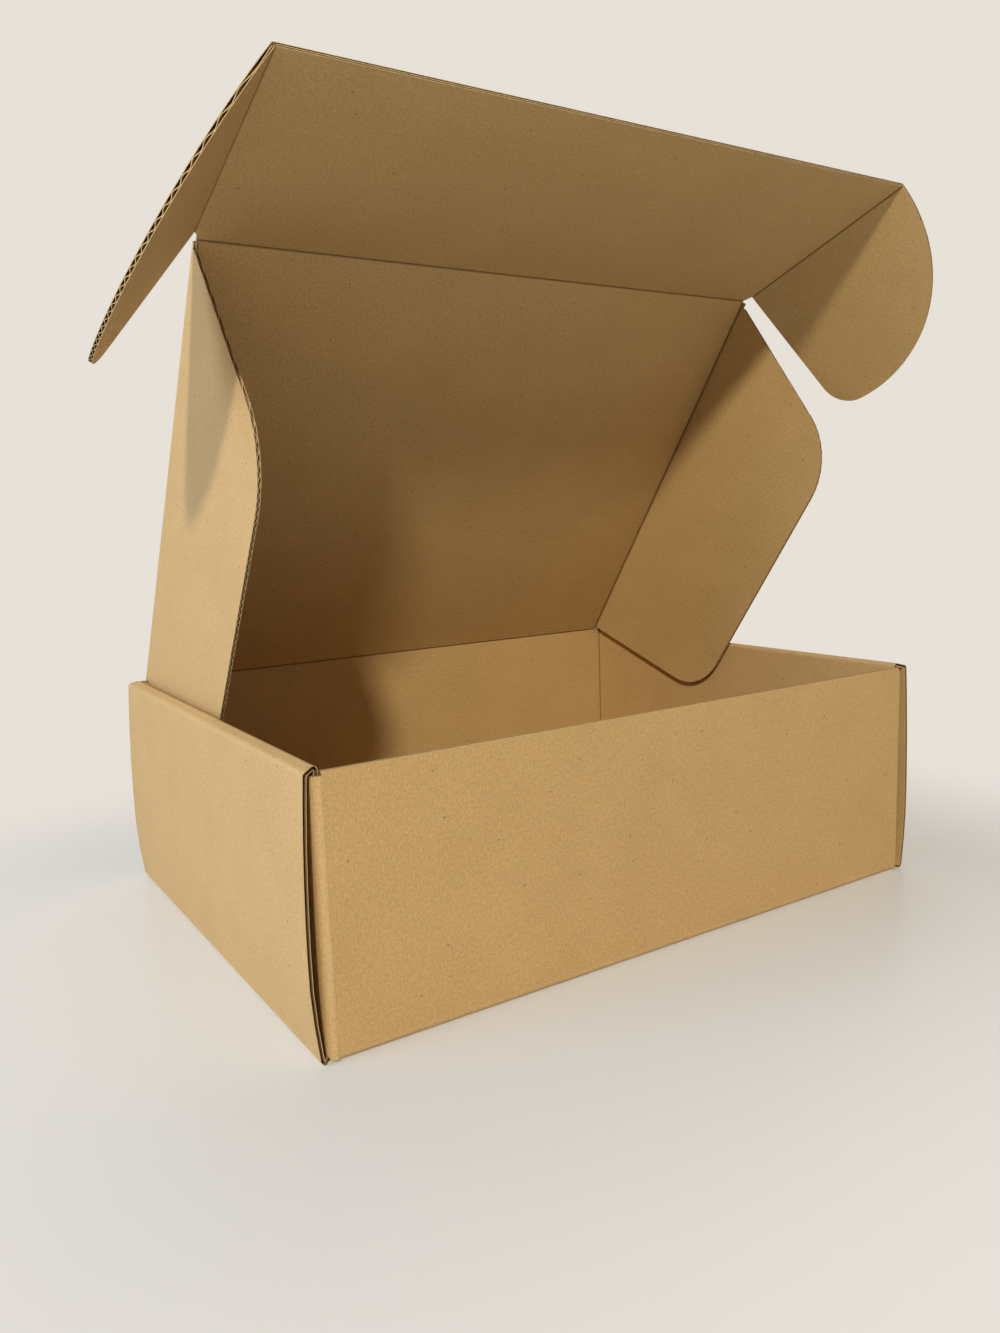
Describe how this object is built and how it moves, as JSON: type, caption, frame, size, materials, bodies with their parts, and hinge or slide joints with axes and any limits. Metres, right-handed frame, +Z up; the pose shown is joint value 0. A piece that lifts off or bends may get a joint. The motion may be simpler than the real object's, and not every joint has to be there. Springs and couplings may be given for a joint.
{
  "type": "corrugated mailer box",
  "caption": "Roll-end tuck-top mailer box folded from kraft corrugated board, with a hinged lid, dust flaps and a front tuck flap with locking ears.",
  "frame": {"origin": "middle of the base's underside", "axes": "+X to the right along the front wall, +Y to the back wall with the lid's hinge, +Z up"},
  "size_m": [0.3836, 0.229, 0.317],
  "materials": {
    "kraft_board": "matte"
  },
  "bodies": {
    "tray": {"tray": "kraft_board"},
    "lid": {"lid": "kraft_board"},
    "left_dust_flap": {"left_dust_flap": "kraft_board"},
    "right_dust_flap": {"right_dust_flap": "kraft_board"},
    "tuck_flap": {"tuck_flap": "kraft_board"},
    "left_ear": {"left_ear": "kraft_board"},
    "right_ear": {"right_ear": "kraft_board"}
  },
  "joints": [
    {"name": "lid_hinge", "type": "hinge", "parent": "tray", "child": "lid", "pos_m": [0, 0.11375, 0.101], "axis": [-1, 0, 0], "range_deg": [-50, 125.8]},
    {"name": "tuck_hinge", "type": "hinge", "parent": "lid", "child": "tuck_flap", "pos_m": [0, -0.01822, 0.28398], "axis": [-1, 0, 0], "range_deg": [-60, 35]},
    {"name": "left_dust_hinge", "type": "hinge", "parent": "lid", "child": "left_dust_flap", "pos_m": [-0.1431, 0.11314, 0.10056], "axis": [0, -0.585, 0.8111], "range_deg": [0, 80]},
    {"name": "right_dust_hinge", "type": "hinge", "parent": "lid", "child": "right_dust_flap", "pos_m": [0.1431, 0.11314, 0.10056], "axis": [0, 0.585, -0.8111], "range_deg": [0, 80]},
    {"name": "left_ear_hinge", "type": "hinge", "parent": "tuck_flap", "child": "left_ear", "pos_m": [-0.14565, -0.01822, 0.28398], "axis": [0, 0.9444, -0.3289], "range_deg": [-38, 52]},
    {"name": "right_ear_hinge", "type": "hinge", "parent": "tuck_flap", "child": "right_ear", "pos_m": [0.14565, -0.01822, 0.28398], "axis": [0, -0.9444, 0.3289], "range_deg": [-35.5, 54.5]}
  ]
}
